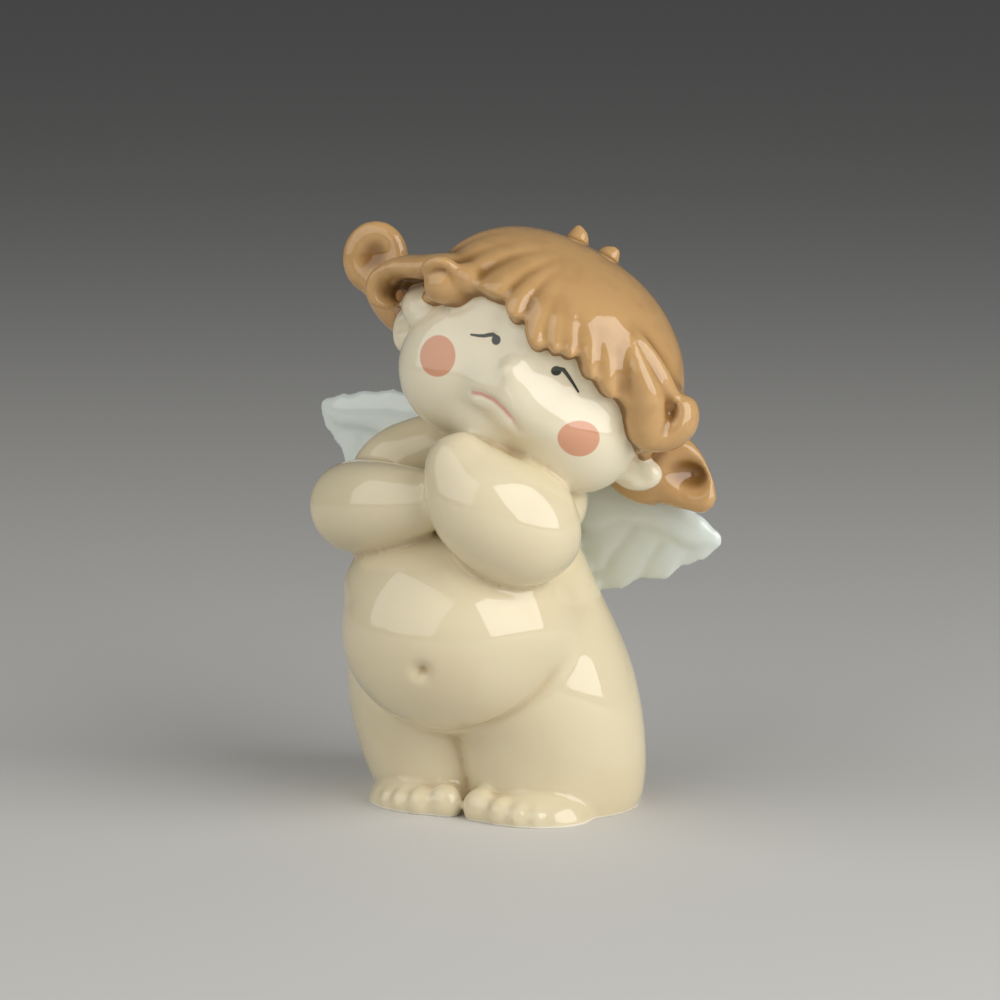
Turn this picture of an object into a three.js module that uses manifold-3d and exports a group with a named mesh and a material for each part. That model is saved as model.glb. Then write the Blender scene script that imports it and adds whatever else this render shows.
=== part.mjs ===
// A glazed porcelain angel figurine: a chubby cherub that leans its tilted head on folded arms.
// It is cast as one piece, so the body, hair, feet and wings are one closed solid.
// Millimetres, +Z up. The cherub faces -Y, its own left side is +X, and the origin is the middle
// of the flat underside.
import * as THREE from 'three';
import { mergeVertices } from 'three/addons/utils/BufferGeometryUtils.js';
import Module from 'manifold-3d';

const wasm = await Module();
wasm.setup();

// The one driving dimension: floor to the highest curl.
const HEIGHT = 130;

// The pose, the proportions and the carving are shares of the height: the figure is drawn on a grid
// of 130 units from the floor to its highest curl, and every place and radius below is in those units.
const GRID = 130;
const UNIT = HEIGHT / GRID;

const at = (x, y, z) => new THREE.Vector3(x, y, z).multiplyScalar(UNIT);
const degrees = THREE.MathUtils.degToRad;
const ramp = THREE.MathUtils.smoothstep;
const bump = (value, middle, width) => Math.exp(-(((value - middle) / width) ** 2));

// Where the leaning torso, the tilted head and the wings are carried.
const HEAD_PLACE = at(12.4, -4.7, 100.4);
const HEAD_NOD = 0;
const HEAD_TILT = 29;
const HEAD_TURN = 10;
const WINGS_PLACE = at(-6, 13, 71);
const WINGS_TILT = 13;

// A closed mesh as a solid that can be joined and cut.
function solid(geometry) {
  const closed = geometry.clone();
  closed.deleteAttribute('normal');
  closed.deleteAttribute('uv');
  const merged = mergeVertices(closed, 1e-4);
  return new wasm.Manifold(new wasm.Mesh({
    numProp: 3,
    vertProperties: merged.attributes.position.array,
    triVerts: new Uint32Array(merged.index.array),
  }));
}

// A solid back as a geometry of flat facets.
function geometryOf(made) {
  const mesh = made.getMesh();
  const geometry = new THREE.BufferGeometry();
  geometry.setAttribute('position', new THREE.BufferAttribute(mesh.vertProperties, 3));
  geometry.setIndex(new THREE.BufferAttribute(mesh.triVerts, 1));
  const facets = geometry.toNonIndexed();
  facets.computeVertexNormals();
  return facets;
}

const joined = (solids) => solids.reduce((all, next) => all.add(next));

// Moves every vertex of a geometry to where a function sends it.
function reshaped(geometry, move) {
  const places = geometry.attributes.position;
  const point = new THREE.Vector3();
  for (let i = 0; i < places.count; i += 1) {
    point.fromBufferAttribute(places, i);
    move(point);
    places.setXYZ(i, point.x, point.y, point.z);
  }
  return geometry;
}

// A unit ball whose poles lie on the Z axis.
const ball = (around, rows) => new THREE.SphereGeometry(1, around, rows).rotateX(Math.PI / 2);

// An egg-shaped swelling with its middle, its three radii and an optional turn in degrees.
function swelling(middle, radii, turn = [0, 0, 0], around = 14, rows = 10) {
  const egg = ball(around, rows).scale(radii[0] * UNIT, radii[1] * UNIT, radii[2] * UNIT);
  const angles = new THREE.Euler(...turn.map(degrees), 'ZYX');
  egg.applyMatrix4(new THREE.Matrix4().makeRotationFromEuler(angles));
  return egg.translate(middle.x, middle.y, middle.z);
}

// A round limb or lock along a smooth path. Each radius row gives the half thickness in the plane that
// the path bends in, and the half width along the side vector. The ends are rounded.
function limb(path, radii, side, around = 14, rows = 14, fullness = 0.55) {
  const line = new THREE.CatmullRomCurve3(path);
  const sizes = new THREE.CatmullRomCurve3(radii.map(([thick, wide]) => at(thick, wide, 0)));
  const across = side.clone().normalize();
  return reshaped(ball(around, rows), (p) => {
    const share = THREE.MathUtils.clamp((1 + p.z) / 2, 0, 1);
    const reach = Math.hypot(p.x, p.y);
    const round = reach > 1e-6 ? reach ** (fullness - 1) : 0;
    const size = sizes.getPoint(share);
    const ahead = line.getTangent(share);
    const wide = across.clone().addScaledVector(ahead, -across.dot(ahead)).normalize();
    const thick = new THREE.Vector3().crossVectors(wide, ahead);
    const outward = thick.multiplyScalar(p.x * round * size.x)
      .addScaledVector(wide, p.y * round * size.y);
    p.copy(line.getPoint(share)).add(outward);
  });
}

// How far a straight line from the origin goes along a direction before it leaves a swelling.
function exitAlong(direction, middle, radii) {
  const [a, b, c] = ['x', 'y', 'z'].reduce((sums, axis, i) => {
    const size = radii[i] * UNIT;
    sums[0] += (direction[axis] / size) ** 2;
    sums[1] += (direction[axis] * middle[axis]) / size ** 2;
    sums[2] += (middle[axis] / size) ** 2;
    return sums;
  }, [0, 0, -1]);
  const inside = b * b - a * c;
  return inside > 0 ? (b + Math.sqrt(inside)) / a : 0;
}

// The round belly hangs over the legs, with the navel pressed into it.
const BELLY = { place: at(-3.6, -13.6, 39.6), radii: [25.8, 28.4, 22.5] };
const NAVEL = { place: at(1, -43.5, 37.1), radius: 3.2 };

// The torso and legs: oval rings stacked from the flat underside to the shoulders. Each row is a
// height, the ring's middle and its two half widths.
const BODY_RINGS = [
  { z: 0, x: -0.8, y: 0.5, wide: 31, deep: 22.5 },
  { z: 3, x: -0.8, y: 0.5, wide: 32.5, deep: 23.5 },
  { z: 12, x: -2.3, y: 0, wide: 34.8, deep: 24 },
  { z: 22, x: -3.2, y: -1, wide: 34.7, deep: 26 },
  { z: 34, x: -4.9, y: -2, wide: 34, deep: 26 },
  { z: 47, x: -6.7, y: -4, wide: 29.6, deep: 23 },
  { z: 60, x: -6, y: -4, wide: 22, deep: 19 },
  { z: 71, x: -4, y: -3, wide: 18, deep: 15 },
  { z: 82, x: 2, y: -3, wide: 9, deep: 9 },
];
const LEG_CLEFT = 0.36;
const LEG_CLEFT_WIDTH = degrees(17);
const LEG_TOP = 30;
const BELLY_BLEND = 5;

function torso() {
  const middles = new THREE.CatmullRomCurve3(BODY_RINGS.map((r) => at(r.x, r.y, r.z)));
  const sizes = new THREE.CatmullRomCurve3(BODY_RINGS.map((r) => at(r.wide, r.deep, 0)));
  const column = new THREE.CylinderGeometry(1, 1, 1, 30, 12).rotateX(Math.PI / 2);
  return reshaped(column, (p) => {
    const share = p.z + 0.5;
    const middle = middles.getPoint(share);
    const size = sizes.getPoint(share);
    const reach = Math.hypot(p.x, p.y);
    const around = Math.atan2(p.y, p.x);
    const legs = 1 - ramp(middle.z, 12 * UNIT, LEG_TOP * UNIT);
    const front = bump(around, -Math.PI / 2, LEG_CLEFT_WIDTH);
    const fullness = 1 - LEG_CLEFT * legs * front;
    const outward = new THREE.Vector3(Math.cos(around) * size.x, Math.sin(around) * size.y, 0);
    outward.multiplyScalar(fullness);
    const wall = outward.length();
    const bulge = exitAlong(outward.normalize(), BELLY.place.clone().sub(middle), BELLY.radii);
    const chest = ramp(middle.z / UNIT, 22, 50) * ramp(-Math.sin(around), 0, 0.7);
    const soft = (0.6 + BELLY_BLEND * chest) * UNIT;
    const filled = soft * Math.log(1 + Math.exp((bulge - wall) / soft));
    p.copy(middle).addScaledVector(outward, reach * (wall + filled));
  });
}


function belly() {
  const navel = swelling(NAVEL.place, Array(3).fill(NAVEL.radius), [0, 0, 0], 7, 5);
  return solid(swelling(BELLY.place, BELLY.radii, [0, 0, 0], 26, 14)).subtract(solid(navel));
}

// Feet: a low mound under each leg with five toes along its front, the big toe on the inside.
const TOES = [
  { width: 6.4, reach: -21.7, rise: 4.4 },
  { width: 4.9, reach: -22.6, rise: 3.7 },
  { width: 4.2, reach: -22.2, rise: 3.3 },
  { width: 3.6, reach: -20.9, rise: 3 },
  { width: 3.2, reach: -18.6, rise: 2.7 },
];
const TOES_START = 1.2;

function foot(side) {
  const forms = [
    swelling(at(side * 13.5, -13.5, 0), [13.5, 11.5, 8.2], [0, 0, 0], 14, 8),
    swelling(at(side * 7, -14.5, 0), [6.6, 10, 7.4], [0, 0, 0], 10, 8),
  ];
  let inner = TOES_START;
  TOES.forEach(({ width, reach, rise }) => {
    const middle = at(side * (inner + width / 2), reach, rise * 0.7);
    forms.push(swelling(middle, [width * 0.62, 3.8, rise], [0, 0, 0], 6, 5));
    inner += width;
  });
  return joined(forms.map(solid));
}

// Arms folded under the chin. The cherub's right elbow points out, and its left hand is on top.
function arms() {
  const up = new THREE.Vector3(0, 0, 1);
  const rightUpper = [at(0, -2, 82), at(-12, -4, 79), at(-19, -6, 76.5), at(-25, -9, 73), at(-30, -12, 67)];
  const rightFore = [at(-37, -14.5, 63), at(-30, -18, 66), at(-17, -26, 69), at(-6, -28, 71), at(4, -26, 73)];
  const leftUpper = [at(7, -4, 74), at(13, -9, 71), at(16.5, -18, 66)];
  const leftFore = [
    at(21, -13, 60), at(16.5, -22.5, 65.5), at(9.5, -30, 73), at(5.2, -32, 80.5), at(3.4, -33, 87),
  ];
  return joined([
    limb(rightUpper, [[7, 7], [8.5, 8.5], [9, 9], [9.5, 9.5], [8.5, 8.5]], up, 12, 10),
    limb(rightFore, [[8.5, 8.5], [11, 11], [9.3, 9.3], [7.5, 7.5], [6, 6]], up, 14, 12),
    limb(leftUpper, [[7, 7], [10, 10], [10, 10]], up, 12, 9),
    limb(leftFore, [[9.5, 9.5], [14, 14], [12.4, 12.4], [9.2, 9.2], [6.6, 6.6]], up, 18, 16),
  ].map(solid));
}

// The face: one smooth skin that flows from the skull over two full cheeks and a round chin, in the
// head's own frame. Nose, mouth and eyelids are raised or sunk around a direction from the middle.
const SKULL = { middle: at(0, 0, 0), radii: [27, 22.5, 23] };
const CHEEKS = [
  { middle: at(-13.5, -6.8, -9.8), radii: [15, 13.8, 14.6] },
  { middle: at(13, -9, -9.3), radii: [15.4, 15.3, 12.8] },
];
const CHIN = { middle: at(-1.5, -13.4, -14.8), radii: [8.5, 7.9, 6.7] };
const SKIN_SOFTNESS = 1.6;
const FACE_FORMS = [
  { turn: -4, polar: 89, rise: 1.8, spread: 7 },
  { turn: -2, polar: 112, rise: -0.9, spread: 8 },
  { turn: -20, polar: 82, rise: -1.3, spread: 11 },
  { turn: 18, polar: 80, rise: -1.4, spread: 11 },
];
const EAR = [5.6, 3.8, 3.7];

const facing = (turn, polar) => new THREE.Vector3(0, 0, 1)
  .applyAxisAngle(new THREE.Vector3(1, 0, 0), degrees(polar))
  .applyAxisAngle(new THREE.Vector3(0, 0, 1), degrees(turn));

function face() {
  const forms = FACE_FORMS.map((f) => ({ ...f, way: facing(f.turn, f.polar) }));
  const skin = reshaped(ball(30, 21), (p) => {
    const ends = [SKULL, ...CHEEKS, CHIN].map(({ middle, radii }) => exitAlong(p, middle, radii));
    const far = Math.max(...ends);
    const soft = SKIN_SOFTNESS * UNIT;
    const blend = ends.reduce((sum, end) => sum + Math.exp((end - far) / soft), 0);
    const raised = forms.reduce((sum, f) => sum + f.rise * bump(p.angleTo(f.way), 0, degrees(f.spread)), 0);
    p.multiplyScalar(far + soft * Math.log(blend) + raised * UNIT);
  });
  return joined([
    skin,
    swelling(at(-31, 1, -11.5), EAR, [0, 70, 0], 8, 7),
    swelling(at(29.6, -1, -11.2), EAR, [0, -29, 0], 8, 7),
  ].map(solid));
}

// The hair is a smooth cap from the crown with a scalloped fringe. Around the head the turn is 0 at the
// forehead and grows towards the cherub's left. Each row is a turn and how far down from the crown the
// edge comes there, in degrees, going from lock tip to notch and back.
const CAP = [31, 26, 25.5];
const FRINGE = [
  [-180, 132], [-130, 126], [-100, 108], [-75, 90], [-57, 86], [-43.5, 71], [-34, 70], [-27, 68.5],
  [-23.8, 62], [-17, 65], [-12.2, 67], [-10.3, 63], [-4, 67], [3.8, 73.5], [5.6, 68.5], [9, 71], [12.5, 67.5],
  [17.3, 70], [19.6, 64.5], [26, 71], [34, 77], [41.5, 80], [44.5, 76], [50, 82], [56, 87], [75, 104],
  [100, 116], [130, 126], [180, 132],
];
const GROOVE = 0.055;

// Where a table of [place, value] rows stands at a place, eased between its rows.
function eased(rows, place) {
  const next = Math.max(1, rows.findIndex(([start]) => start >= place));
  const [from, low] = rows[next - 1];
  const [to, high] = rows[next];
  return low + (high - low) * ramp(place, from, to);
}

// How deep in a groove a place round the head is: 0 along a lock, 1 in the notch between two locks.
function grooveAt(turn) {
  const notches = [-43.5, -23.8, -10.3, 5.6, 12.5, 19.6, 32, 44.5];
  return Math.min(1, notches.reduce((sum, notch) => sum + bump(turn, notch, 3.2), 0));
}

function cap() {
  return reshaped(ball(60, 11), (p) => {
    const uniform = Math.atan2(p.x, -p.y);
    const around = uniform - 0.5 * Math.sin(uniform);
    const turn = THREE.MathUtils.radToDeg(around);
    const row = Math.acos(THREE.MathUtils.clamp(p.z, -1, 1)) / Math.PI;
    const down = Math.min(row / 0.78, 1);
    const polar = degrees(eased(FRINGE, turn)) * down;
    const groove = GROOVE * grooveAt(turn) * ramp(down, 0.35, 1);
    const side = 0.085 * bump(turn, -90, 60) * bump(polar, degrees(50), degrees(32));
    const brow = 0.05 * bump(turn, 22, 34) * bump(polar, degrees(46), degrees(20));
    const reach = 1 - groove + side + brow;
    const round = row > 0.78 ? 1 - 0.9 * ramp(row, 0.8, 1) : 1;
    const sideways = Math.sin(polar) * reach * round;
    p.set(
      CAP[0] * UNIT * Math.sin(around) * sideways,
      -CAP[1] * UNIT * Math.cos(around) * sideways,
      CAP[2] * UNIT * Math.cos(polar) * reach * round,
    );
  });
}

// A rolled lock along its path; the side vector is the axis it rolls round.
const AXIS = new THREE.Vector3(0.3, 1, 0.1);
const lock = (path, sizes, rows = 20) => limb(path.map((p) => at(...p)), sizes, AXIS, 7, rows, 0.6);

// A broad flick of hair, hollowed on its front like a spoon.
function flick({ neck, place, radii, turn, hollow, hollowRadii }) {
  const spoon = joined([solid(neck), solid(swelling(at(...place), radii, turn, 14, 10))]);
  return spoon.subtract(solid(swelling(at(...hollow), hollowRadii, turn, 10, 7)));
}

function curls() {
  const templeCurl = lock(
    [[15.5, -14.5, 18], [20, -15, 13], [23.4, -13.6, 8.5], [25.8, -11.6, 3.2], [29, -9.5, 0.4], [32.4, -8, 1],
      [34, -7.5, 4.6], [32.4, -7, 8], [30, -7.5, 7.2], [30.4, -8, 5.2]],
    [[1.5, 2], [3.4, 3.6], [4.6, 4.4], [4.5, 4.8], [3.6, 4.8], [2.9, 4.4], [2.5, 3.8], [2.1, 3], [1.5, 2]],
    20,
  );
  const looseCurl = lock(
    [[-15, -9, 14], [-25.5, -10, 9.8], [-32.2, -8, 5.2], [-37.5, -6, 1.6], [-39.8, -5, -3],
      [-38.3, -5, -6.6], [-34.6, -5, -7.2]],
    [[3, 5], [3.2, 6], [2.8, 6], [2.6, 6], [2.6, 6], [2.4, 5]],
    15,
  );
  const rightFlick = flick({
    neck: lock(
      [[-24, 8, -4], [-33, 8.5, -10.5], [-41, 8, -9], [-47, 8, -5]],
      [[6.5, 6], [5.5, 5.5], [5, 5], [4, 4]],
      9,
    ),
    place: [-47.2, 8, -3.2],
    radii: [7.6, 5, 8.8],
    turn: [0, -20, 0],
    hollow: [-47.2, 2.6, -2.2],
    hollowRadii: [5.4, 4, 6.6],
  });
  const leftFlick = flick({
    neck: lock(
      [[16, 9, -9], [26, 9, -11.5], [34, 8.5, -9.4], [40, 8, -10], [46.2, 7.5, -11.5]],
      [[8, 5], [9.6, 5.5], [8.6, 5], [6.6, 4.6], [4.4, 3.6]],
      14,
    ),
    place: [37, 8, -9.8],
    radii: [6, 4.6, 6],
    turn: [0, 20, 0],
    hollow: [38.6, 2.8, -7.6],
    hollowRadii: [5, 4, 4.4],
  });
  return joined([
    ...[templeCurl, looseCurl].map(solid),
    rightFlick,
    leftFlick,
    solid(swelling(at(-31, 1, -3), [8, 8, 8], [0, 0, 0], 10, 8)),
    solid(swelling(at(29, -3, 3.5), [5.5, 4.5, 7], [0, 0, 0], 8, 7)),
    solid(swelling(at(-26.2, -15, 6.4), [4, 4, 4.2], [0, 30, 0], 9, 7)),
    solid(swelling(at(-24.6, -14, 3.2), [3.6, 3.8, 3.2], [0, 30, 0], 8, 6)),
    solid(swelling(at(-9.3, 11, 22.8), [2.8, 2.4, 4], [0, -15, 0], 7, 5)),
    solid(swelling(at(-1.6, 11, 23), [3, 2.4, 4], [0, 15, 0], 7, 5)),
  ]);
}

// One wing spreads sideways from the shoulder blade. Its upper edge is a thick smooth band, and its
// lower edge runs in feather lobes. Each row is a distance from the middle and a height.
const WING_TOP = [
  [0, 3], [5, 6.5], [12, 10.2], [20, 11.8], [32, 10.2], [40, 7.6], [46, 4.8], [51, 2.4], [53, 0.6],
];
const WING_BOTTOM = [
  [0, -4], [4, -7], [9, -13], [16, -18.5], [25, -20.3], [31, -18.2], [36.5, -13.8], [41.5, -12.4], [45, -8.2],
  [49, -5.4], [53, -1],
];
const WING_ROOT = 2;
const WING_TIP = 52.5;
const WING_THICK = 2.1;

function wing(side) {
  const plate = new THREE.BoxGeometry(1, 1, 1, 18, 5, 1);
  reshaped(plate, (p) => {
    const share = p.x + 0.5;
    const across = WING_ROOT + (WING_TIP - WING_ROOT) * share;
    const low = eased(WING_BOTTOM, across);
    const high = eased(WING_TOP, across);
    const up = p.y * 2;
    const rim = Math.sqrt(Math.max(0.1, 1 - Math.abs(up) ** 3)) * Math.sqrt(Math.max(0.2, 1 - share ** 8));
    const band = 0.62 + 0.55 * ramp(up, -0.1, 0.45);
    const cup = 5 * share ** 2 - 3 * share - 1.5 * (1 - share) ** 3 - 5 * up * (1 - share) ** 2;
    p.set(
      side * across * UNIT,
      (cup - Math.sign(p.z) * WING_THICK * rim * band) * UNIT,
      (low + (high - low) * (p.y + 0.5)) * UNIT,
    );
  });
  if (side > 0) return solid(plate);
  const flipped = plate.clone();
  flipped.setIndex(Array.from(plate.index.array).reverse());
  return solid(flipped);
}

function placed(solids, place, nod, tilt, turn) {
  const angles = new THREE.Euler(degrees(nod), degrees(tilt), degrees(turn), 'ZYX');
  const matrix = new THREE.Matrix4().makeRotationFromEuler(angles).setPosition(place);
  return joined(solids).transform(matrix.elements);
}

// Everything is joined, and what would reach below the floor is cut away flat.
function figurine() {
  const body = joined([solid(torso()), belly(), arms(), foot(-1), foot(1)]);
  const head = placed([face(), solid(cap()), curls()], HEAD_PLACE, HEAD_NOD, HEAD_TILT, HEAD_TURN);
  const wings = placed([wing(-1), wing(1)], WINGS_PLACE, 0, WINGS_TILT, 0);
  const below = solid(new THREE.BoxGeometry(HEIGHT, HEIGHT, HEIGHT).translate(0, 0, -HEIGHT / 2));
  return joined([body, head, wings]).subtract(below);
}

const porcelain = new THREE.MeshStandardMaterial({ color: 0xe3d3b4, roughness: 0.12, metalness: 0 });
const angel = new THREE.Mesh(geometryOf(figurine()), porcelain);
angel.name = 'angel_figurine';

const group = new THREE.Group();
group.add(angel);

export default group;
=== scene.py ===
# %% [markdown]
# # A glazed porcelain angel
# The figure is slip-cast: liquid clay is poured into a plaster mould and dries to a thin shell, and
# hair, locks and wings are joined on while it is damp. Then it is painted, dipped in glaze and fired.
# So all forms flow into each other with small soft creases, and a glassy skin lies over everything.
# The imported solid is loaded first, because it fixes the size and place of all that follows.

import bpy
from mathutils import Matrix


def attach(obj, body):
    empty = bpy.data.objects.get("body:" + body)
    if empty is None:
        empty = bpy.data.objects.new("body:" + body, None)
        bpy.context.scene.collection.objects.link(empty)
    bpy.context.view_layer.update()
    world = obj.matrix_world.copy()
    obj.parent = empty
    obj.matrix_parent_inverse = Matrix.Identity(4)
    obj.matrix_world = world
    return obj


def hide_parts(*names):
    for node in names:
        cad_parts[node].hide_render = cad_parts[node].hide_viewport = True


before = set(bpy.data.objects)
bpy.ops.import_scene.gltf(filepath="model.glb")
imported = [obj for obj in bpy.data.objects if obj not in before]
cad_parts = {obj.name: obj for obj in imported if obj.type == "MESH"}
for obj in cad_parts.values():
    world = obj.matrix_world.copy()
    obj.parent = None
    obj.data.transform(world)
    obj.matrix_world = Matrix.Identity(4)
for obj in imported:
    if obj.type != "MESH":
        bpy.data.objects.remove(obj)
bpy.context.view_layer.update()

# %% [markdown]
# Clay is shaped by pushing it, and here that is a matter of moving a mesh's points with simple
# functions. All tables below are in millimetres, so the points are read and written in millimetres.

# %% Tools for moving points
import math

import bpy
import numpy as np
from mathutils import Euler, Matrix, Vector
from mathutils.bvhtree import BVHTree

MM = 0.001


def pick(*pieces):
    """Select these pieces and nothing else, with the first one active."""
    bpy.ops.object.select_all(action="DESELECT")
    for piece in pieces:
        piece.select_set(True)
    bpy.context.view_layer.objects.active = pieces[0]


def points_of(piece):
    """The piece's points, one row each, in millimetres."""
    flat = np.empty(len(piece.data.vertices) * 3)
    piece.data.vertices.foreach_get("co", flat)
    return flat.reshape(-1, 3) / MM


def move_points(piece, points):
    """Put the piece's points at new places in millimetres."""
    piece.data.vertices.foreach_set("co", (points * MM).ravel())
    piece.data.update()


bpy.ops.object.select_all(action="DESELECT")

# %% [markdown]
# Most of the figure is made of swellings, so the first form is a ball that is stretched, turned and
# put in its place. A ball is a start only: nearly every one is pushed further or melts into others.

# %% A stretched ball


def ball(middle, radii, turn=(0, 0, 0), around=56, rows=36):
    """Add a ball with its middle and three radii in millimetres and its turn in degrees."""
    bpy.ops.mesh.primitive_uv_sphere_add(segments=around, ring_count=rows, radius=MM)
    piece = bpy.context.object
    piece.scale = radii
    piece.rotation_euler = [math.radians(angle) for angle in turn]
    piece.location = Vector(middle) * MM
    bpy.ops.object.transform_apply(location=True, rotation=True, scale=True)
    return piece


# %% [markdown]
# Arms and locks are rolled like a coil of clay and bent. A smooth path is drawn through a few
# places, a ball is led along it from pole to pole, and each place has its own thickness and width.
# A curve with a bevel could do it too, but its section stays round and its ends stay flat.

# %% A rolled coil of clay


def unit(rows):
    """Rows made one unit long."""
    return rows / np.maximum(np.linalg.norm(rows, axis=-1, keepdims=True), 1e-9)


def along(places, share):
    """Where a smooth path through the places is, at shares from 0 to 1."""
    places = np.asarray(places, float)
    ends = np.vstack([2 * places[0] - places[1], places, 2 * places[-1] - places[-2]])
    spot = np.clip(share, 0, 1) * (len(places) - 1)
    first = np.minimum(spot.astype(int), len(places) - 2)
    step = (spot - first)[:, None]
    a, b, c, d = (ends[first + i] for i in range(4))
    ab, bc, cd = (
        np.maximum(np.linalg.norm(q - p, axis=1, keepdims=True), 1e-8) ** 0.5
        for p, q in ((a, b), (b, c), (c, d))
    )
    leave = ((b - a) / ab - (c - a) / (ab + bc) + (c - b) / bc) * bc
    arrive = ((c - b) / bc - (d - b) / (bc + cd) + (d - c) / cd) * bc
    bend = 3 * (c - b) - 2 * leave - arrive
    twist = 2 * (b - c) + leave + arrive
    return b + leave * step + bend * step**2 + twist * step**3


def coil(path, sizes, side, around=40, rows=88, fullness=0.55):
    """Roll a coil along a path. Sizes are rows of half thickness and half width along the side."""
    piece = ball((0, 0, 0), (1, 1, 1), around=around, rows=rows)
    start = points_of(piece)
    share = (1 + start[:, 2]) / 2
    reach = np.hypot(start[:, 0], start[:, 1])
    round_end = np.where(reach > 1e-5, np.maximum(reach, 1e-5) ** (fullness - 1), 0)[:, None]
    size = along(sizes, share) * round_end
    ahead = unit(along(path, share + 1e-4) - along(path, share - 1e-4))
    side = unit(np.array(side, float))
    wide = unit(side - ahead * (ahead @ side)[:, None])
    thick = np.cross(wide, ahead)
    middle = along(path, share)
    move_points(piece, middle + thick * start[:, :1] * size[:, :1] + wide * start[:, 1:2] * size[:, 1:2])
    return piece


# %% [markdown]
# The torso and legs are one column that stands on the floor. It is drawn up ring by ring from a
# circle, as a potter pulls a wall: each ring is extruded, moved and scaled. Subdivision then rounds
# it. The lowest ring goes below the floor, and what is below is cut off flat at the end.

# %% Draw up the torso and legs
BODY_RINGS = [  # height, then the ring's middle in x and y, then its half widths
    (-5, -0.8, 0.5, 29.5, 21.5),
    (0, -0.8, 0.5, 31.2, 22.6),
    (3, -0.8, 0.5, 32.8, 23.7),
    (12, -2.4, 0, 35.2, 24.3),
    (22, -3.3, -1, 35.1, 26.3),
    (34, -4.3, -2, 33.4, 26.2),
    (47, -6.6, -4, 29.7, 23.3),
    (60, -7.6, -4, 24.4, 19.6),
    (71, -4, -3, 18.2, 15.2),
    (82, 2, -3, 9, 9),
]
bpy.ops.mesh.primitive_circle_add(vertices=32, radius=MM, fill_type="NGON")
torso = bpy.context.object
bpy.ops.object.mode_set(mode="EDIT")
bpy.ops.mesh.select_all(action="SELECT")
height, x, y, wide, deep = BODY_RINGS[0]
bpy.ops.transform.resize(value=(wide, deep, 1), center_override=(0, 0, 0))
bpy.ops.transform.translate(value=(x * MM, y * MM, height * MM))
for ring in BODY_RINGS[1:]:
    up, over, back = ((ring[i] - (height, x, y)[i]) * MM for i in range(3))
    bpy.ops.mesh.extrude_region_move(TRANSFORM_OT_translate={"value": (over, back, up)})
    scale = (ring[3] / wide, ring[4] / deep, 1)
    height, x, y, wide, deep = ring
    bpy.ops.transform.resize(value=scale, center_override=(x * MM, y * MM, height * MM))
bpy.ops.mesh.select_all(action="SELECT")
bpy.ops.mesh.normals_make_consistent(inside=False)
bpy.ops.object.mode_set(mode="OBJECT")
soften = torso.modifiers.new("soften", "SUBSURF")
soften.levels = 3
soften.render_levels = 3
bpy.ops.object.modifier_apply(modifier="soften")
print("torso faces:", len(torso.data.polygons))

# %% [markdown]
# The column now gets its modelling. A cleft between the legs is pressed in at the front, and the
# chest swells out to meet the belly, which is a full ball: for each point of the wall, the way out
# through that ball is measured, and the wall follows it. In front the two melt softly together, and
# at the sides and below the wall keeps close to the ball, so that a fold is left.

# %% Press the cleft and swell the chest
BELLY_MIDDLE = (-4.2, -13.6, 40.6)
BELLY_RADII = (26.4, 28.4, 23.5)
LEG_CLEFT = 0.3  # share of the radius
LEG_CLEFT_WIDTH = math.radians(18)


def ramp(value, low, high):
    """Ease from 0 at low to 1 at high."""
    share = np.clip((value - low) / (high - low), 0, 1)
    return share * share * (3 - 2 * share)


def exit_along(ways, middle, radii):
    """How far lines run along their ways before they leave a stretched ball round a middle."""
    middle, radii = np.array(middle, float), np.array(radii, float)
    a = ((ways / radii) ** 2).sum(1)
    b = (ways * middle / radii**2).sum(1)
    c = ((middle / radii) ** 2).sum(-1) - 1
    inside = b * b - a * c
    return np.where(inside > 0, (b + np.sqrt(np.maximum(inside, 0))) / a, 0)


points = points_of(torso)
rings = np.array(BODY_RINGS, float)
middle = np.stack([np.interp(points[:, 2], rings[:, 0], rings[:, i]) for i in (1, 2)], axis=1)
offset = points[:, :2] - middle
around = np.arctan2(offset[:, 1], offset[:, 0])
legs = 1 - ramp(points[:, 2], 14, 30)
front = np.exp(-np.abs(around + math.pi / 2) / LEG_CLEFT_WIDTH)
offset *= (1 - LEG_CLEFT * legs * front)[:, None]
wall = np.linalg.norm(offset, axis=1)
ways = np.column_stack([offset / np.maximum(wall, 1e-6)[:, None], np.zeros(len(wall))])
bulge = exit_along(ways, np.array(BELLY_MIDDLE) - np.column_stack([middle, points[:, 2]]), BELLY_RADII)
front_side = ramp(-np.sin(around), 0, 0.7)
front_side *= np.maximum(ramp(np.cos(around), -0.8, -0.2), ramp(points[:, 2], 42, 52))
soft = 0.5 + 5 * ramp(points[:, 2], 30, 47) * front_side
filled = soft * np.log1p(np.exp(np.clip((bulge - wall) / soft, -30, 30)))
points[:, :2] = middle + ways[:, :2] * (wall + filled * (wall > 1))[:, None]
move_points(torso, points)
print("torso points:", len(points))

# %% [markdown]
# The belly is a full round form that hangs over the legs: its upper side flows out of the chest, and
# the fold under it is where ball and legs meet. Each foot is a low mound with five toes, the big toe
# on the inside. A toe is a small ball, and all but the big one have a broader pad behind the tip.

# %% Belly and feet
TOES = [  # width, place of the tip in y, and height, from the inside out
    (6.4, -21.7, 4.4),
    (4.9, -22.6, 3.7),
    (4.2, -22.2, 3.3),
    (3.6, -20.9, 3),
    (3.2, -18.6, 2.7),
]
TOES_START = 1.2

belly = ball(BELLY_MIDDLE, BELLY_RADII, around=96, rows=64)

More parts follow.
